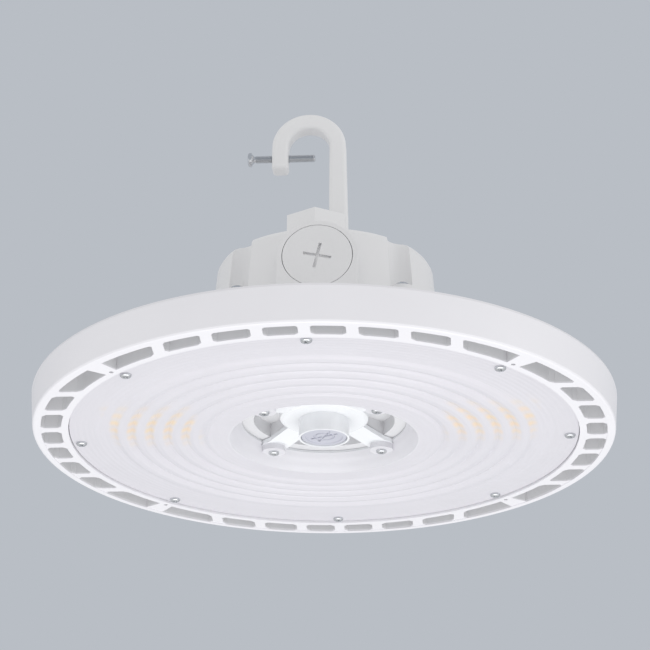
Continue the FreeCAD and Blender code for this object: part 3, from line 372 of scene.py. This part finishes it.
# Painted highlight: the lens is lighter round its opening, for the light that the cone
# there catches.
milk_with_painted_highlight = add_node(lens_tree, "ShaderNodeMix",
                      {0: lens_steps["painted_cone_highlight"], 6: milk, 7: colour("EFEEF3")},
                      data_type="RGBA").outputs[2]
milk_with_painted_glow = add_node(lens_tree, "ShaderNodeMix", {0: painted_chip_glow, 6: milk_with_painted_highlight, 7: warm},
                       data_type="RGBA")
frosting = add_node(lens_tree, "ShaderNodeMapRange",
                    {"Value": frost, "To Min": 0.28, "To Max": 0.4})
turned = add_node(lens_tree, "ShaderNodeBump", {"Distance": ring_depth, "Strength": 1.0,
                                                "Height": lens_steps["ring_wave"]})
lens_tree.links.new(milk_with_painted_glow.outputs[2], lens_shader.inputs["Base Color"])
lens_tree.links.new(frosting.outputs[0], lens_shader.inputs["Roughness"])
lens_tree.links.new(turned.outputs[0], lens_shader.inputs["Normal"])
lens_shader.inputs["IOR"].default_value = 1.58
lens_shader.inputs["Transmission Weight"].default_value = 0.18
dress(frosted, "lens")

# --------------------------- sensor bracket and socket, terminal block, gland
# Moulded plastics with the faint ripple of a polished tool: glossy white and
# grey ABS round the sensor, and black nylon for the cable gland.


def moulded_plastic(name, shades, roughness):
    """A moulded plastic between two shades, with a slow ripple 12 mm wide."""
    material, shader = grained_finish(
        name, shades, roughness=(roughness - 0.05, roughness + 0.05),
        grains_mm=(12.0, 1.0, 12.0), depth_mm=0.05)
    shader.inputs["IOR"].default_value = 1.54
    return material


white_plastic = moulded_plastic("white_abs", ("EAECEF", "F0F1F3"), 0.25)
grey_plastic = moulded_plastic("grey_abs", ("BDBEC9", "C6C7D1"), 0.35)
black_plastic = moulded_plastic("black_nylon", ("17181A", "222325"), 0.45)
dress(white_plastic, "sensor_bracket", "terminal_block")
dress(grey_plastic, "sensor_socket")
dress(black_plastic, "cable_gland", "gland_nut")

# ------------------------------------------------------------------- LED driver
# A potted driver in a folded case of plain aluminium sheet, rolled along its
# length, which leaves fine lines.

sheet_metal, sheet_shader = grained_finish(
    "aluminium_sheet", ("B9BBBD", "CBCDCF"), roughness=(0.3, 0.5),
    grains_mm=(0.6, 0.6, 0.6), depth_mm=0.01, stretch=(0.05, 1.0, 1.0))
sheet_shader.inputs["Metallic"].default_value = 1.0
dress(sheet_metal, "led_driver")

# ------------------------------------------------------ pan-head screws, all round
# Bright zinc-plated steel. Each head is domed with a cross recess, and its shank
# goes up or down into a tapped hole.

steel, steel_shader = grained_finish(
    "zinc_plated_steel", ("C6C8CB", "E4E5E7"), roughness=(0.16, 0.3),
    grains_mm=(0.6, 0.6, 0.6), depth_mm=0.004)
steel_shader.inputs["Metallic"].default_value = 1.0
dress(steel, "driver_screws", "hook_lock_nut", "hook_set_screw")


def cut_out(piece, cutter):
    """Cut a closed shape from a piece, and remove the cutter."""
    cut = piece.modifiers.new("cut", "BOOLEAN")
    cut.operation = "DIFFERENCE"
    cut.solver = "EXACT"
    cut.use_self = True
    cut.object = cutter
    bpy.ops.object.select_all(action="DESELECT")
    piece.select_set(True)
    bpy.context.view_layer.objects.active = piece
    bpy.ops.object.modifier_apply(modifier="cut")
    bpy.data.objects.remove(cutter)


def cross_cutter(height, span, width, depth):
    """Two crossed tapering blades that make a cross recess, down from a height."""
    left_at_the_point = (0.45, 0.6, 1.0)
    bpy.ops.object.select_all(action="DESELECT")
    bpy.ops.mesh.primitive_cube_add(size=1.0, location=(0, 0, height))
    cutter = bpy.context.object
    bpy.ops.object.mode_set(mode="EDIT")
    bpy.ops.transform.resize(value=(span, width, depth * 2),
                             center_override=(0, 0, height))
    pick(cutter, "FACE", lambda face: face.normal.z < -0.9)
    bpy.ops.transform.resize(value=left_at_the_point, center_override=(0, 0, height))
    bpy.ops.mesh.select_all(action="SELECT")
    bpy.ops.mesh.duplicate()
    bpy.ops.transform.rotate(value=math.pi / 2, orient_axis="Z",
                             center_override=(0, 0, height))
    bpy.ops.object.mode_set(mode="OBJECT")
    bpy.ops.object.transform_apply(location=True, rotation=True, scale=True)
    return cutter


def pan_screw(name, head_radius, head_height, shank_radius, length):
    """A pan-head screw, head up from its seat at the origin, shank down."""
    dome, shank_end = head_height * 0.62, shank_radius * 0.3
    recess_span, recess_width = head_radius * 1.1, head_radius * 0.26
    recess_depth = head_height * 0.6
    bpy.ops.object.select_all(action="DESELECT")
    bpy.ops.mesh.primitive_cylinder_add(vertices=32, radius=head_radius,
                                        depth=head_height, end_fill_type="NGON",
                                        location=(0, 0, head_height / 2))
    bpy.ops.object.transform_apply(location=True, rotation=True, scale=True)
    screw = bpy.context.object
    screw.name = name
    bpy.ops.object.mode_set(mode="EDIT")
    pick(screw, "EDGE", lambda edge: middle(edge).z > head_height * 0.9)
    bpy.ops.mesh.bevel(offset=dome, segments=5, affect="EDGES")
    pick(screw, "FACE", lambda face: face.normal.z < -0.9)
    bpy.ops.mesh.inset(thickness=head_radius - shank_radius)
    bpy.ops.mesh.extrude_region_move(TRANSFORM_OT_translate={"value": (0, 0, -length)})
    pick(screw, "EDGE", lambda edge: middle(edge).z < -length * 0.99)
    bpy.ops.mesh.bevel(offset=shank_end, segments=2, affect="EDGES")
    bpy.ops.object.mode_set(mode="OBJECT")
    cut_out(screw, cross_cutter(head_height, recess_span, recess_width, recess_depth))
    bpy.ops.object.shade_smooth_by_angle(angle=math.radians(40))
    screw.data.materials.clear()
    screw.data.materials.append(steel)
    return screw


def set_out(master, places, node):
    """A copy of the screw at each place, standing for a CAD node."""
    for number, place in enumerate(places, start=1):
        copy = bpy.data.objects.new(f"{master.name}_{number}", master.data.copy())
        bpy.context.scene.collection.objects.link(copy)
        copy.data.transform(place)
        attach(copy, "root")
        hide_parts(node)
    bpy.data.objects.remove(master)


def upside_down(x, y, z, turn):
    """A place for a screw that goes upwards, its head below."""
    return (Matrix.Translation((x, y, z)) @ Matrix.Rotation(turn, 4, "Z")
            @ Matrix.Rotation(math.pi, 4, "X"))


lens_low, lens_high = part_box("lens_screws")
lens_head_radius, lens_head_height, lens_shank_radius = 0.0030, 0.0016, 0.0015
lens_screw_seat = lens_low.z + lens_head_height
lens_circle = lens_high.x - lens_head_radius
# Each is driven home at another angle, so their recesses stand unlike.
first_turn, next_turn = 0.4, 0.9
set_out(pan_screw("lens_screw", lens_head_radius, lens_head_height,
                  lens_shank_radius, lens_high.z - lens_screw_seat),
        [upside_down(lens_circle * math.cos(spot * math.pi / 4),
                     lens_circle * math.sin(spot * math.pi / 4), lens_screw_seat,
                     first_turn + spot * next_turn)
         for spot in range(8)], "lens_screws")

inner_low, inner_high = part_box("inner_screws")
inner_head_radius, inner_head_height, inner_shank_radius = 0.0030, 0.0016, 0.00145
inner_reach = inner_high.y - inner_head_radius
inner_seat = inner_low.z + inner_head_height
set_out(pan_screw("inner_screw", inner_head_radius, inner_head_height,
                  inner_shank_radius, inner_high.z - inner_seat),
        [upside_down(x * inner_reach, y * inner_reach, inner_seat, 0.3 * x + 0.5 * y)
         for x in (-1, 1) for y in (-1, 1)], "inner_screws")

cover_low, cover_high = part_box("cover_screws")
cover_head_radius, cover_head_height, cover_shank_radius = 0.0043, 0.0034, 0.0020
cover_reach = cover_high.y - cover_head_radius
cover_seat = cover_high.z - cover_head_height
set_out(pan_screw("cover_screw", cover_head_radius, cover_head_height,
                  cover_shank_radius, cover_seat - cover_low.z),
        [Matrix.Translation((x * cover_reach, y * cover_reach, cover_seat))
         @ Matrix.Rotation(0.7 * x + 0.2 * y, 4, "Z")
         for x in (-1, 1) for y in (-1, 1)], "cover_screws")

# ----------------------------------------------------------------- safety screw
# A long zinc-plated machine screw through the hook's tip, which keeps the
# hanging loop in. It has a rolled thread, a low head and a cone under it.

tip_low, tip_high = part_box("safety_screw")
tip_head_radius = (tip_high.z - tip_low.z) / 2
tip_centre = Vector((tip_low.x, 0.0, (tip_high.z + tip_low.z) / 2))
thread_radius, thread_pitch = 0.0023, 0.0008
thread_root, thread_core = thread_radius * 0.82, thread_radius * 0.8
tip_head_height, neck_height = 0.0022, 0.0015
neck_foot, neck_top = thread_radius * 0.85, tip_head_radius * 0.8
neck_round, thread_in_neck = 0.0002, 0.0001
thread_length = (tip_high.x - tip_low.x) - tip_head_height - neck_height
thread_turns = int(thread_length / thread_pitch)

safety = pan_screw("safety_screw", tip_head_radius, tip_head_height, thread_core,
                   thread_length + neck_height)
bpy.ops.object.select_all(action="DESELECT")
bpy.ops.mesh.primitive_cone_add(vertices=32, radius1=neck_foot, radius2=neck_top,
                                depth=neck_height, location=(0, 0, -neck_height / 2))
bpy.ops.object.transform_apply(location=True, rotation=True, scale=True)
neck = bpy.context.object
bpy.ops.object.mode_set(mode="EDIT")
pick(neck, "EDGE", lambda edge: middle(edge).z < -neck_height * 0.9)
bpy.ops.mesh.bevel(offset=neck_round, segments=2, affect="EDGES")
bpy.ops.object.mode_set(mode="OBJECT")

# One turn's outline, two flanks that meet at the crest, is wound up the shank.
bpy.ops.object.select_all(action="DESELECT")
bpy.ops.mesh.primitive_circle_add(vertices=3, radius=0.001, fill_type="NOTHING")
thread = bpy.context.object
bpy.ops.object.mode_set(mode="EDIT")
thread_shape = bmesh.from_edit_mesh(thread.data)
thread_shape.verts.ensure_lookup_table()
flank = thread_shape.verts
flank[0].co = (thread_root, 0, 0)
flank[1].co = (thread_radius, 0, thread_pitch / 2)
flank[2].co = (thread_root, 0, thread_pitch)
bmesh.update_edit_mesh(thread.data)
pick(thread, "EDGE", lambda edge: edge.calc_length() > thread_pitch * 0.99)
bpy.ops.mesh.delete(type="EDGE_FACE")
bpy.ops.object.mode_set(mode="OBJECT")
weld_distance = 1e-6
winding = thread.modifiers.new("winding", "SCREW")
winding.axis = "Z"
winding.angle = 2 * math.pi
winding.screw_offset = thread_pitch
winding.iterations = thread_turns - 1
winding.steps = 20
winding.render_steps = 20
winding.use_merge_vertices = True
winding.merge_threshold = weld_distance
bpy.ops.object.modifier_apply(modifier="winding")
bpy.ops.object.mode_set(mode="EDIT")
bpy.ops.mesh.select_all(action="SELECT")
bpy.ops.mesh.remove_doubles(threshold=weld_distance)
pick(thread, "EDGE",
     lambda edge: edge.is_boundary and middle(edge).z < thread_pitch * 1.2)
bpy.ops.mesh.fill()
pick(thread, "EDGE", lambda edge: edge.is_boundary)
bpy.ops.mesh.fill()
bpy.ops.mesh.select_all(action="SELECT")
bpy.ops.mesh.normals_make_consistent(inside=False)
bpy.ops.object.mode_set(mode="OBJECT")
thread_end = -neck_height - thread_length + thread_in_neck
thread.data.transform(Matrix.Translation((0, 0, thread_end)))
thread.data.materials.append(steel)
neck.data.materials.append(steel)
bpy.ops.object.select_all(action="DESELECT")
for shape in (thread, neck, safety):
    shape.select_set(True)
bpy.context.view_layer.objects.active = safety
bpy.ops.object.join()
safety.data.transform(Matrix.Translation(tip_centre + Vector((tip_head_height, 0, 0)))
                      @ Matrix.Rotation(-math.pi / 2, 4, "Y"))
bpy.ops.object.shade_smooth_by_angle(angle=math.radians(30))
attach(safety, "root")
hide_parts("safety_screw")

# ------------------------------------------------------------------- sensor cap
# A snap-in cap of grey ABS in the middle of the light. A loop and slanting bars
# are moulded into its face, inside a plain rim.

cap_low, cap_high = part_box("sensor_cap")
cap_radius, cap_height = cap_high.x, cap_high.z - cap_low.z
cap_round, rim_width, rim_slope, face_sink = 0.0007, 0.0015, 0.0004, 0.0006
face_height = cap_low.z + face_sink
loop_radius, groove_radius = 0.0052, 0.0008
bar_size, bar_slant = (0.0165, 0.0015, 0.0014), 0.35
bpy.ops.object.select_all(action="DESELECT")
bpy.ops.mesh.primitive_cylinder_add(vertices=64, radius=cap_radius, depth=cap_height,
                                    end_fill_type="NGON",
                                    location=(0, 0, (cap_low.z + cap_high.z) / 2))
bpy.ops.object.transform_apply(location=True, rotation=True, scale=True)
cap = bpy.context.object
cap.name = "sensor_cap_moulded"
bpy.ops.object.mode_set(mode="EDIT")
pick(cap, "EDGE", lambda edge: middle(edge).z < cap_low.z + 0.0001)
bpy.ops.mesh.bevel(offset=cap_round, segments=4, affect="EDGES")
pick(cap, "FACE", lambda face: face.normal.z < -0.9 and face.calc_area() > 0.0001)
bpy.ops.mesh.inset(thickness=rim_width)
bpy.ops.mesh.inset(thickness=rim_slope, depth=-face_sink)
bpy.ops.object.mode_set(mode="OBJECT")
bpy.ops.object.select_all(action="DESELECT")
bpy.ops.mesh.primitive_torus_add(major_radius=loop_radius, minor_radius=groove_radius,
                                 major_segments=48, minor_segments=12,
                                 location=(0, 0, face_height))
bpy.ops.object.transform_apply(location=True, rotation=True, scale=True)
cut_out(cap, bpy.context.object)
for slant in (bar_slant, -bar_slant):
    bpy.ops.object.select_all(action="DESELECT")
    bpy.ops.mesh.primitive_cube_add(size=1.0, location=(0, 0, face_height))
    bar_cutter = bpy.context.object
    bpy.ops.object.mode_set(mode="EDIT")
    bpy.ops.transform.resize(value=bar_size, center_override=(0, 0, face_height))
    bpy.ops.transform.rotate(value=math.pi / 4 + slant, orient_axis="Z",
                             center_override=(0, 0, face_height))
    bpy.ops.object.mode_set(mode="OBJECT")
    bpy.ops.object.transform_apply(location=True, rotation=True, scale=True)
    cut_out(cap, bar_cutter)
bpy.ops.object.shade_smooth_by_angle(angle=math.radians(35))
cap.data.materials.clear()
cap.data.materials.append(grey_plastic)
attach(cap, "root")
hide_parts("sensor_cap")
